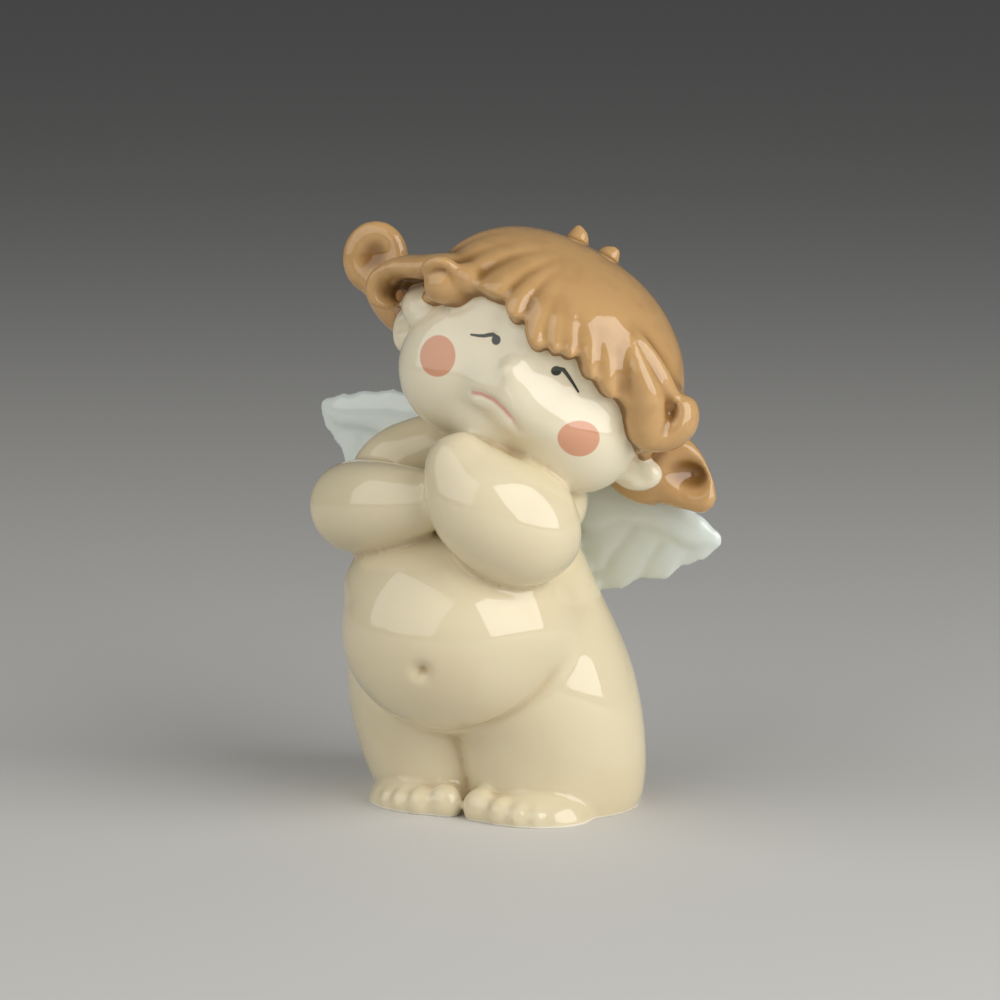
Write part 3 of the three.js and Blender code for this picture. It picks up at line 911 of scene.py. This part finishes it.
skin = coats(BEIGE, [
    (["face"], 1.0, IVORY),
    # painted shade in the creases, partly glaze gathering there
    (["crease_shade"], 0.65, TAN_SHADE_AND_CLOUDS),
    (["clouds"], 0.12, TAN_SHADE_AND_CLOUDS),
    (["right_cheek", "in_front", "off_hair"], 0.85, BLUSH),
    (["left_cheek", "in_front", "off_hair"], 0.85, BLUSH),
    (["mouth_line", "mouth", "in_front", "off_hair"], 0.85, LIP_PINK),
    (["ink", "in_front", "off_hair"], 0.95, SLATE),
])
# painted shade in the hair's grooves, partly glaze gathering there, then the brush streaks
hair = coats(CARAMEL, [(["groove_shade"], 1.0, CARAMEL_SHADE_AND_STREAKS), (["streaks"], 0.18, CARAMEL_SHADE_AND_STREAKS)])
# painted shade in the wings' creases
feathers = coats(WHITE, [(["crease_shade"], 1.0, WHITE_PAINTED_SHADE)])
tone = coats(skin, [(["hair"], 1.0, hair), (["wings"], 1.0, feathers), (["bare_foot"], 1.0, BISQUE)])
print("nodes so far:", len(tree.nodes))

# %% [markdown]
# The glaze itself is clear glass, so its IOR is 1.52. It is nearly mirror smooth, a little duller in
# the same clouds as the colour, and rough on the bare foot. A little light goes into the white body
# and comes out again nearby, which softens the shadows' edges.

# %% Glaze it
GLAZE_IOR = 1.52
GLAZE_ROUGHNESS = (0.05, 0.09)
BISQUE_ROUGHNESS = 0.6
WAVE_DEPTH = 0.05 * MM

smooth, dull = GLAZE_ROUGHNESS
gloss = add("MapRange", {"Value": pattern["clouds"], 1: 0.3, 2: 0.7, 3: smooth, 4: dull})
gloss = add("Mix", {0: mask["bare_foot"], 2: gloss, 3: BISQUE_ROUGHNESS})
ripple = add("Bump", {"Height": pattern["waves"], "Strength": 0.25, "Distance": WAVE_DEPTH})
shader = add("BsdfPrincipled", {
    "Base Color": tone,
    "Roughness": gloss,
    "IOR": GLAZE_IOR,
    "Subsurface Weight": 0.12,
    "Subsurface Radius": (1.0, 0.6, 0.35),
    "Subsurface Scale": 0.8 * MM,
    "Normal": ripple,
})
add("OutputMaterial", {"Surface": shader})

angel.data.materials.clear()
angel.data.materials.append(paint)
pick(angel)
bpy.ops.object.shade_smooth()
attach(angel, "root")
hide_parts("angel_figurine")
print("figure:", len(angel.data.polygons), "faces")

# %% [markdown]
# The studio is plain: a pale floor, one bright soft box at the camera's right, a broad weaker one at
# its left, and a pale room. On a glaze the lights are seen twice, as light on the form and as
# bright windows in the glass, so their size and place are chosen by where the windows fall.

# %% Floor and lights
bpy.ops.mesh.primitive_plane_add(size=12)
floor = bpy.context.object
floor.name = "studio_floor"
pale = bpy.data.materials.new("pale_floor")
pale.use_nodes = True
pale.node_tree.nodes["Principled BSDF"].inputs["Base Color"].default_value = colour("#D2D0CB")
pale.node_tree.nodes["Principled BSDF"].inputs["Roughness"].default_value = 0.7
floor.data.materials.append(pale)

LIT_PLACE = Vector((0, 0, 0.07))


def from_side(azimuth, elevation):
    """The direction at an azimuth from the front and an elevation, in degrees."""
    azimuth, elevation = math.radians(azimuth), math.radians(elevation)
    flat = math.cos(elevation)
    return Vector((math.sin(azimuth) * flat, -math.cos(azimuth) * flat, math.sin(elevation)))


def soft_box(name, azimuth, elevation, width, height, power, distance=0.8):
    """A rectangular lamp that shines on the figure from a distance in metres, with a power in watts."""
    bpy.ops.object.light_add(type="AREA", location=LIT_PLACE + from_side(azimuth, elevation) * distance)
    lamp = bpy.context.object
    lamp.name = name
    lamp.data.shape = "RECTANGLE"
    lamp.data.size = width
    lamp.data.size_y = height
    lamp.data.energy = power
    lamp.rotation_euler = (LIT_PLACE - lamp.location).to_track_quat("-Z", "Y").to_euler()


soft_box("key_box", azimuth=80, elevation=24, width=0.78, height=0.74, power=6.9)
soft_box("fill_box", azimuth=-30, elevation=31, width=1.2, height=0.86, power=4.6)

world = bpy.data.worlds.new("pale_room")
bpy.context.scene.world = world
world.use_nodes = True
world.node_tree.nodes["Background"].inputs[0].default_value = colour("#C9CCCF")
world.node_tree.nodes["Background"].inputs[1].default_value = 0.14
bpy.context.scene.view_settings.view_transform = "Standard"

# %% [markdown]
# The camera stands where the photographer stood: a little to the cherub's left and slightly above,
# with a long lens. The photograph's pixel size at the figure gives the lens angle, and the pixel
# that lies over the figure's foot gives the place to aim at.

# %% Camera
VIEW_AZIMUTH = 28  # degrees
VIEW_ELEVATION = 10
VIEW_DISTANCE = 0.9
HALF_FRAME = 500  # pixels
PIXEL = 0.222 * MM
AIM_RIGHT = -9  # pixels from the figure's foot to the frame's middle
AIM_UP = 299

azimuth, elevation = math.radians(VIEW_AZIMUTH), math.radians(VIEW_ELEVATION)
right = Vector((math.cos(azimuth), math.sin(azimuth), 0))
target = right * (AIM_RIGHT * PIXEL) + Vector((0, 0, AIM_UP * PIXEL / math.cos(elevation)))
bpy.ops.object.camera_add(location=target + from_side(VIEW_AZIMUTH, VIEW_ELEVATION) * VIEW_DISTANCE)
camera = bpy.context.object
camera.data.sensor_fit = "HORIZONTAL"
camera.data.angle = 2 * math.atan(HALF_FRAME * PIXEL / VIEW_DISTANCE)
camera.data.clip_start = 0.05
camera.rotation_euler = (target - camera.location).to_track_quat("-Z", "Y").to_euler()
bpy.context.scene.camera = camera
print("camera at", [round(v, 3) for v in camera.location])
